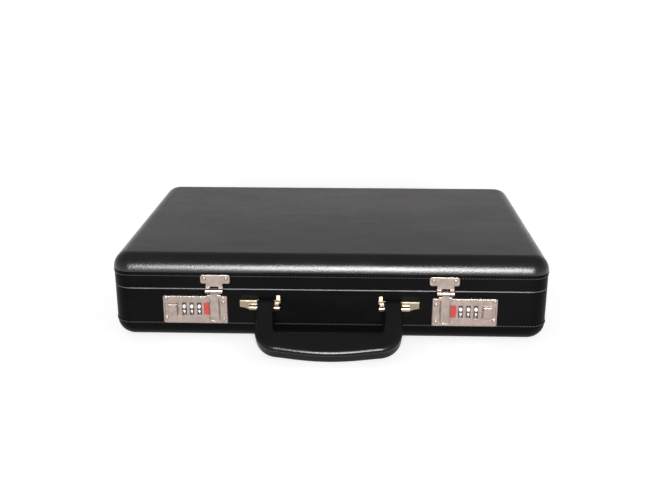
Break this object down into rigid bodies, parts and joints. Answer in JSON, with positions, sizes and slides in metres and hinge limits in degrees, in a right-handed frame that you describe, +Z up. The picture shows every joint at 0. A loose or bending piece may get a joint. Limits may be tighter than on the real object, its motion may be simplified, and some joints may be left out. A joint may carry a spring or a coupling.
{
  "type": "attache case",
  "caption": "Slim hard attache case covered in black leather, lying closed, with a padded lid, hinged hasps over dial locks, and a swinging padded carrying handle.",
  "frame": {"origin": "centre of the base panel's underside, on the surface the case lies on", "axes": "+X to the right along the case's width, +Z up, -Y is the front with the locks and the handle"},
  "size_m": [0.451, 0.3673, 0.09],
  "materials": {
    "leather_black": "smooth black leather with a fine grain and a satin gloss",
    "handle_leather": "smooth black leather over padding, stitched along its edge",
    "piping": "black leather piping",
    "board": "raw hardboard",
    "foam": "open-cell foam sheet",
    "lining": "short-napped suede cloth",
    "pocket_fabric": "stitched leathercloth and twill",
    "frame_aluminium": "satin anodised extrusion",
    "satin_nickel": "satin nickel plate with polished edges",
    "warm_nickel": "pale nickel plate with a gold tint",
    "steel": "zinc-plated steel",
    "red_enamel": "bright red gloss enamel",
    "dial_black": "black with white numerals",
    "foot_plastic": "matt black"
  },
  "bodies": {
    "base": {"base_shell": "board", "base_cover_bottom": "leather_black", "base_cover_band": "leather_black", "base_lining": "lining", "base_frame": "frame_aluminium", "hinge_leaf_base": "steel", "hinge_pin": "steel", "base_rivets": "satin_nickel", "rear_feet_base": "foot_plastic", "stay_studs_base": "steel", "lock_plate_left": "satin_nickel", "lock_case_left": "steel", "lock_indicator_left": "red_enamel", "dial_shaft_left": "steel", "handle_bracket_left": "warm_nickel", "handle_pin_left": "warm_nickel", "lock_plate_right": "satin_nickel", "lock_case_right": "steel", "lock_indicator_right": "red_enamel", "dial_shaft_right": "steel", "handle_bracket_right": "warm_nickel", "handle_pin_right": "warm_nickel"},
    "lid": {"lid_shell": "board", "lid_pad": "foam", "lid_cover_top": "leather_black", "lid_cover_band": "leather_black", "lid_piping": "piping", "lid_lining": "lining", "lid_frame": "frame_aluminium", "hinge_leaf_lid": "steel", "lid_rivets": "satin_nickel", "rear_feet_lid": "foot_plastic", "stay_studs_lid": "steel", "file_pocket": "pocket_fabric", "file_pocket_gussets": "pocket_fabric", "card_pocket": "pocket_fabric", "pen_loops": "pocket_fabric", "hasp_bracket_left": "satin_nickel", "hasp_pin_left": "satin_nickel", "hasp_bracket_right": "satin_nickel", "hasp_pin_right": "satin_nickel"},
    "handle": {"handle_grip": "handle_leather", "handle_core": "steel"},
    "hasp_left": {"hasp_left": "satin_nickel"},
    "slider_left": {"slider_left": "satin_nickel", "slider_spring_left": "steel"},
    "dial_left_1": {"dial_left_1": "dial_black"},
    "dial_left_2": {"dial_left_2": "dial_black"},
    "dial_left_3": {"dial_left_3": "dial_black"},
    "stay_lower_left": {"stay_lower_left": "steel"},
    "stay_upper_left": {"stay_upper_left": "steel"},
    "hasp_right": {"hasp_right": "satin_nickel"},
    "slider_right": {"slider_right": "satin_nickel", "slider_spring_right": "steel"},
    "dial_right_1": {"dial_right_1": "dial_black"},
    "dial_right_2": {"dial_right_2": "dial_black"},
    "dial_right_3": {"dial_right_3": "dial_black"},
    "stay_lower_right": {"stay_lower_right": "steel"},
    "stay_upper_right": {"stay_upper_right": "steel"}
  },
  "joints": [
    {"name": "lid_hinge", "type": "hinge", "parent": "base", "child": "lid", "pos_m": [0, 0.1523, 0.055], "axis": [-1, 0, 0], "range_deg": [0, 100]},
    {"name": "handle_swing", "type": "hinge", "parent": "base", "child": "handle", "pos_m": [0, -0.1586, 0.0392], "axis": [-1, 0, 0], "range_deg": [0, 90]},
    {"name": "hasp_swing_left", "type": "hinge", "parent": "lid", "child": "hasp_left", "pos_m": [-0.1182, -0.1534, 0.0546], "axis": [-1, 0, 0], "range_deg": [0, 110]},
    {"name": "slider_push_left", "type": "slide", "parent": "base", "child": "slider_left", "axis": [-1, 0, 0], "range_m": [0, 0.003], "stiffness_N_per_m": 250, "springref_m": -0.004},
    {"name": "dial_turn_left_1", "type": "hinge", "parent": "base", "child": "dial_left_1", "pos_m": [-0.1498, -0.1442, 0.034], "axis": [1, 0, 0], "continuous": true},
    {"name": "dial_turn_left_2", "type": "hinge", "parent": "base", "child": "dial_left_2", "pos_m": [-0.142, -0.1442, 0.034], "axis": [1, 0, 0], "continuous": true},
    {"name": "dial_turn_left_3", "type": "hinge", "parent": "base", "child": "dial_left_3", "pos_m": [-0.1342, -0.1442, 0.034], "axis": [1, 0, 0], "continuous": true},
    {"name": "stay_lower_turn_left", "type": "hinge", "parent": "base", "child": "stay_lower_left", "pos_m": [-0.21125, 0.05431, 0.03506], "axis": [-1, 0, 0], "range_deg": [0, 100]},
    {"name": "stay_upper_turn_left", "type": "hinge", "parent": "lid", "child": "stay_upper_left", "pos_m": [-0.21375, 0.05302, 0.06701], "axis": [-1, 0, 0], "range_deg": [-100, 0]},
    {"name": "hasp_swing_right", "type": "hinge", "parent": "lid", "child": "hasp_right", "pos_m": [0.1182, -0.1534, 0.0546], "axis": [-1, 0, 0], "range_deg": [0, 110]},
    {"name": "slider_push_right", "type": "slide", "parent": "base", "child": "slider_right", "axis": [1, 0, 0], "range_m": [0, 0.003], "stiffness_N_per_m": 250, "springref_m": -0.004},
    {"name": "dial_turn_right_1", "type": "hinge", "parent": "base", "child": "dial_right_1", "pos_m": [0.1498, -0.1442, 0.034], "axis": [1, 0, 0], "continuous": true},
    {"name": "dial_turn_right_2", "type": "hinge", "parent": "base", "child": "dial_right_2", "pos_m": [0.142, -0.1442, 0.034], "axis": [1, 0, 0], "continuous": true},
    {"name": "dial_turn_right_3", "type": "hinge", "parent": "base", "child": "dial_right_3", "pos_m": [0.1342, -0.1442, 0.034], "axis": [1, 0, 0], "continuous": true},
    {"name": "stay_lower_turn_right", "type": "hinge", "parent": "base", "child": "stay_lower_right", "pos_m": [0.21125, 0.05431, 0.03506], "axis": [-1, 0, 0], "range_deg": [0, 100]},
    {"name": "stay_upper_turn_right", "type": "hinge", "parent": "lid", "child": "stay_upper_right", "pos_m": [0.21375, 0.05302, 0.06701], "axis": [-1, 0, 0], "range_deg": [-100, 0]}
  ],
  "couplings": [
    {"joint": "stay_lower_turn_left", "follows": "lid_hinge", "ratio": 1},
    {"joint": "stay_upper_turn_left", "follows": "lid_hinge", "ratio": -1},
    {"joint": "stay_lower_turn_right", "follows": "lid_hinge", "ratio": 1},
    {"joint": "stay_upper_turn_right", "follows": "lid_hinge", "ratio": -1}
  ]
}
